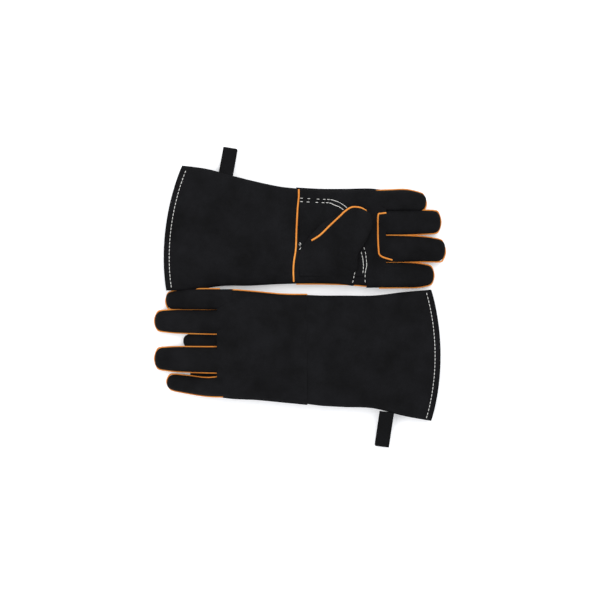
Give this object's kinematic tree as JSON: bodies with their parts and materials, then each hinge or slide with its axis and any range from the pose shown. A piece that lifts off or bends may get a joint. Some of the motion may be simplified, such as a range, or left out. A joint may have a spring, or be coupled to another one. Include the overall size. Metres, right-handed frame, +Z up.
{
  "type": "welding gloves",
  "caption": "Pair of long-cuffed leather welding gloves lying flat, one palm up and one back up, with sewn welts, a palm patch, bending fingers and thumbs and hanging loops.",
  "frame": {"origin": "under the middle of the pair, on the surface that it lies on", "axes": "+X from the right glove's mouth to its fingertips, +Y towards the right glove, +Z up"},
  "size_m": [0.4178, 0.428, 0.0478],
  "materials": {
    "black_suede": "matt suede",
    "black_welt": "matt suede",
    "cotton_lining": "soft brushed cotton",
    "loop_leather": "matt suede",
    "orange_welt": "matt suede",
    "patch_leather": "matt suede"
  },
  "bodies": {
    "right_glove": {"right_cuff_back": "black_suede", "right_cuff_front": "black_suede", "right_cuff_hem": "black_suede", "right_cuff_lining": "cotton_lining", "right_hand_back": "black_suede", "right_hand_lining": "cotton_lining", "right_palm": "black_suede", "right_palm_patch": "patch_leather", "right_side_welt": "black_welt", "right_wrist_welt": "orange_welt"},
    "right_little_finger": {"right_little_back": "black_suede", "right_little_front": "black_suede", "right_little_welt": "orange_welt"},
    "right_ring_finger": {"right_ring_back": "black_suede", "right_ring_front": "black_suede", "right_ring_welt": "orange_welt"},
    "right_middle_finger": {"right_middle_back": "black_suede", "right_middle_front": "black_suede", "right_middle_welt": "orange_welt"},
    "right_index_finger": {"right_index_back": "black_suede", "right_index_front": "black_suede", "right_index_welt": "orange_welt"},
    "right_thumb_body": {"right_thumb_back": "black_suede", "right_thumb_front": "black_suede", "right_thumb_welt": "orange_welt"},
    "right_loop": {"right_hanging_loop": "loop_leather"},
    "left_little_finger": {"left_little_back": "black_suede", "left_little_front": "black_suede", "left_little_welt": "orange_welt"},
    "left_ring_finger": {"left_ring_back": "black_suede", "left_ring_front": "black_suede", "left_ring_welt": "orange_welt"},
    "left_middle_finger": {"left_middle_back": "black_suede", "left_middle_front": "black_suede", "left_middle_welt": "orange_welt"},
    "left_index_finger": {"left_index_back": "black_suede", "left_index_front": "black_suede", "left_index_welt": "orange_welt"},
    "left_thumb_body": {"left_thumb_back": "black_suede", "left_thumb_front": "black_suede", "left_thumb_welt": "orange_welt"},
    "left_loop": {"left_hanging_loop": "loop_leather"},
    "left_glove": {"left_cuff_back": "black_suede", "left_cuff_front": "black_suede", "left_cuff_hem": "black_suede", "left_cuff_lining": "cotton_lining", "left_hand_back": "black_suede", "left_hand_lining": "cotton_lining", "left_palm": "black_suede", "left_palm_patch": "patch_leather", "left_side_welt": "black_welt", "left_wrist_welt": "orange_welt"}
  },
  "joints": [
    {"name": "left_glove_lift", "type": "slide", "parent": "right_glove", "child": "left_glove", "axis": [0, 0, 1], "range_m": [0, 0.12]},
    {"name": "right_little_bend", "type": "hinge", "parent": "right_glove", "child": "right_little_finger", "pos_m": [0.116, 0.13786, 0.026], "axis": [0, -1, 0], "range_deg": [0, 60]},
    {"name": "right_ring_bend", "type": "hinge", "parent": "right_glove", "child": "right_ring_finger", "pos_m": [0.116, 0.10626, 0.026], "axis": [0, -1, 0], "range_deg": [0, 60]},
    {"name": "right_middle_bend", "type": "hinge", "parent": "right_glove", "child": "right_middle_finger", "pos_m": [0.116, 0.06976, 0.026], "axis": [0, -1, 0], "range_deg": [0, 60]},
    {"name": "right_index_bend", "type": "hinge", "parent": "right_glove", "child": "right_index_finger", "pos_m": [0.116, 0.03127, 0.026], "axis": [0, -1, 0], "range_deg": [0, 60]},
    {"name": "right_thumb_open", "type": "hinge", "parent": "right_glove", "child": "right_thumb_body", "pos_m": [0.046, 0.02277, 0.02755], "axis": [1, 0, 0], "range_deg": [0, 70]},
    {"name": "right_loop_swing", "type": "hinge", "parent": "right_glove", "child": "right_loop", "pos_m": [-0.107, 0.17429, 0.01518], "axis": [0.9863, -0.1649, 0], "range_deg": [-8, 54]},
    {"name": "left_little_bend", "type": "hinge", "parent": "left_glove", "child": "left_little_finger", "pos_m": [-0.108, -0.12704, 0.0168], "axis": [0, -1, 0], "range_deg": [0, 60]},
    {"name": "left_ring_bend", "type": "hinge", "parent": "left_glove", "child": "left_ring_finger", "pos_m": [-0.108, -0.08814, 0.0168], "axis": [0, -1, 0], "range_deg": [0, 60]},
    {"name": "left_middle_bend", "type": "hinge", "parent": "left_glove", "child": "left_middle_finger", "pos_m": [-0.108, -0.03553, 0.0168], "axis": [0, -1, 0], "range_deg": [0, 60]},
    {"name": "left_index_bend", "type": "hinge", "parent": "left_glove", "child": "left_index_finger", "pos_m": [-0.108, -0.00453, 0.0168], "axis": [0, -1, 0], "range_deg": [0, 60]},
    {"name": "left_thumb_open", "type": "hinge", "parent": "left_glove", "child": "left_thumb_body", "pos_m": [-0.038, -0.00383, 0.01525], "axis": [1, 0, 0], "range_deg": [0, 70]},
    {"name": "left_loop_swing", "type": "hinge", "parent": "left_glove", "child": "left_loop", "pos_m": [0.125, -0.16776, 0.02215], "axis": [-0.9915, 0.1301, 0], "range_deg": [-8, 54]}
  ]
}
